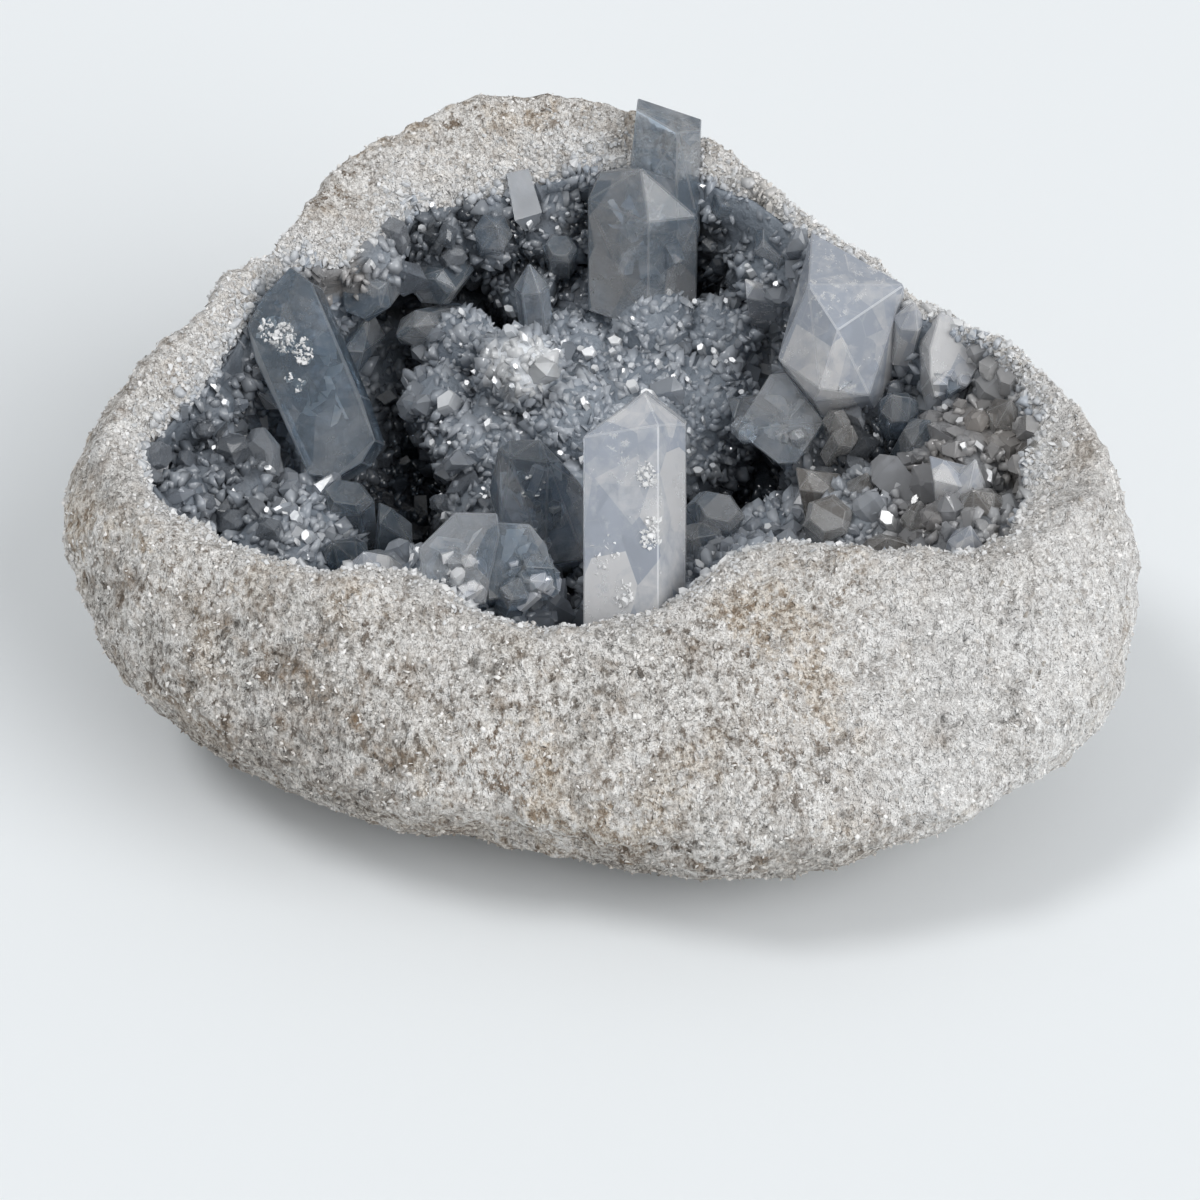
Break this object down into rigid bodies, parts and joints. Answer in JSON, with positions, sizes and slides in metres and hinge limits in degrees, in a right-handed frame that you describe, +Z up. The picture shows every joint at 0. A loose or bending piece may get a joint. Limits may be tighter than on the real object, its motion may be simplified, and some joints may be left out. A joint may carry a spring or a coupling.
{
  "type": "celestite geode",
  "caption": "Pale rounded rock broken open at the top, its hollow lined with a crust of blue-grey celestite crystals, resting on a small flat spot.",
  "frame": {"origin": "middle of the bounding box, in the plane of the flat spot that it rests on", "axes": "+Z up, +X along the length to the right-hand end, +Y towards the high back of the rim"},
  "size_m": [0.1272, 0.1016, 0.0574],
  "materials": {
    "rock": "rough, sugary, pale grey-white with beige and brown stains",
    "celestite": "glassy, translucent milky grey-blue"
  },
  "bodies": {
    "root": {"rind": "rock", "crystal_crust": "celestite"}
  },
  "joints": []
}
